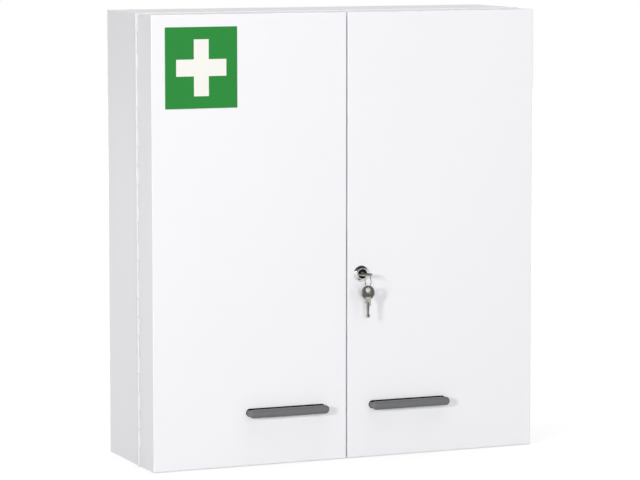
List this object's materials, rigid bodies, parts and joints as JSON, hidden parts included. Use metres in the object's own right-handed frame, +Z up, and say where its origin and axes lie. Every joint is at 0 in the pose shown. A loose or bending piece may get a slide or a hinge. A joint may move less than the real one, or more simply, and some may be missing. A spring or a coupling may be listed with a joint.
{
  "type": "lockable medicine cabinet",
  "caption": "White sheet-steel medicine cabinet with deep tray doors on full-height hinges, bow handles, a cylinder lock with its keys and a green first aid sign.",
  "frame": {"origin": "centre of the back face, midway between the four wall holes", "axes": "+Y points back into the wall, so the doors face -Y; +X is to the right of someone who faces the doors; +Z is up"},
  "size_m": [0.5558, 0.208, 0.6],
  "materials": {
    "white_enamel": "smooth white powder coat",
    "zinc_steel": "zinc-plated steel",
    "cast_zinc": "plain cast zinc",
    "grey_plastic": "moulded, matt",
    "dark_plastic": "moulded, satin",
    "black_rubber": "matt",
    "sign_green": "printed film, satin",
    "sign_white": "printed film, satin",
    "lock_chrome": "polished chrome plate",
    "dark_nickel": "worn nickel plate"
  },
  "bodies": {
    "cabinet": {"left_side_panel": "white_enamel", "right_side_panel": "white_enamel", "top_panel": "white_enamel", "bottom_panel": "white_enamel", "back_panel": "white_enamel", "left_shelf_uprights": "zinc_steel", "right_shelf_uprights": "zinc_steel", "lower_shelf": "white_enamel", "upper_shelf": "white_enamel", "lower_shelf_clips": "zinc_steel", "upper_shelf_clips": "zinc_steel", "left_hinge_frame_leaf": "white_enamel", "right_hinge_frame_leaf": "white_enamel", "left_hinge_pin": "zinc_steel", "right_hinge_pin": "zinc_steel", "left_magnet_catch": "grey_plastic", "right_magnet_catch": "grey_plastic", "catch_screws": "zinc_steel", "door_buffers": "black_rubber"},
    "left_door": {"left_door_panel": "white_enamel", "left_hinge_door_leaf": "white_enamel", "left_handle": "dark_plastic", "left_handle_screws": "zinc_steel", "first_aid_sign": "sign_green", "sign_cross": "sign_white", "left_lower_tray": "white_enamel", "left_middle_tray": "white_enamel", "left_upper_tray": "white_enamel", "left_lower_rail": "zinc_steel", "left_middle_rail": "zinc_steel", "left_upper_rail": "zinc_steel", "left_strike_plate": "zinc_steel", "upper_bolt_guide": "cast_zinc", "lower_bolt_guide": "cast_zinc", "guide_screws": "zinc_steel"},
    "right_door": {"right_door_panel": "white_enamel", "right_hinge_door_leaf": "white_enamel", "right_handle": "dark_plastic", "right_handle_screws": "zinc_steel", "right_lower_tray": "white_enamel", "right_middle_tray": "white_enamel", "right_upper_tray": "white_enamel", "right_lower_rail": "zinc_steel", "right_middle_rail": "zinc_steel", "right_upper_rail": "zinc_steel", "right_strike_plate": "zinc_steel", "lock_case": "cast_zinc", "lock_case_cover": "zinc_steel", "lock_case_rivets": "zinc_steel", "lock_barrel": "lock_chrome", "lock_nut": "lock_chrome"},
    "upper_bolt": {"upper_slide_bolt": "zinc_steel"},
    "lower_bolt": {"lower_slide_bolt": "zinc_steel"},
    "lock": {"lock_plug": "dark_nickel", "lock_follower": "zinc_steel"},
    "bolt": {"dead_bolt": "zinc_steel"},
    "key": {"lock_key": "dark_nickel"},
    "ring": {"key_ring": "lock_chrome"},
    "hanging_key": {"spare_key": "dark_nickel"}
  },
  "joints": [
    {"name": "left_door_hinge", "type": "hinge", "parent": "cabinet", "child": "left_door", "pos_m": [-0.276, -0.12, 0], "axis": [0, 0, -1], "range_deg": [0, 180]},
    {"name": "right_door_hinge", "type": "hinge", "parent": "cabinet", "child": "right_door", "pos_m": [0.276, -0.12, 0], "axis": [0, 0, 1], "range_deg": [0, 180]},
    {"name": "upper_bolt_slide", "type": "slide", "parent": "left_door", "child": "upper_bolt", "axis": [0, 0, 1], "range_m": [0, 0.012]},
    {"name": "lower_bolt_slide", "type": "slide", "parent": "left_door", "child": "lower_bolt", "axis": [0, 0, -1], "range_m": [0, 0.012]},
    {"name": "lock_turn", "type": "hinge", "parent": "right_door", "child": "lock", "pos_m": [0.0205, -0.165, -0.05], "axis": [0, -1, 0], "range_deg": [0, 90]},
    {"name": "dead_bolt_throw", "type": "slide", "parent": "right_door", "child": "bolt", "axis": [-1, 0, 0], "range_m": [0, 0.008]},
    {"name": "key_withdraw", "type": "slide", "parent": "lock", "child": "key", "axis": [0, -1, 0], "range_m": [0, 0.026]},
    {"name": "ring_swing", "type": "hinge", "parent": "key", "child": "ring", "pos_m": [0.0205, -0.19803, -0.05], "axis": [0, 1, 0], "range_deg": [-25, 25]},
    {"name": "spare_key_swing", "type": "hinge", "parent": "ring", "child": "hanging_key", "pos_m": [0.0205, -0.19803, -0.06945], "axis": [0, 1, 0], "range_deg": [-60, 60]}
  ],
  "couplings": [
    {"joint": "dead_bolt_throw", "follows": "lock_turn", "m_per_rad": 0.00509}
  ]
}
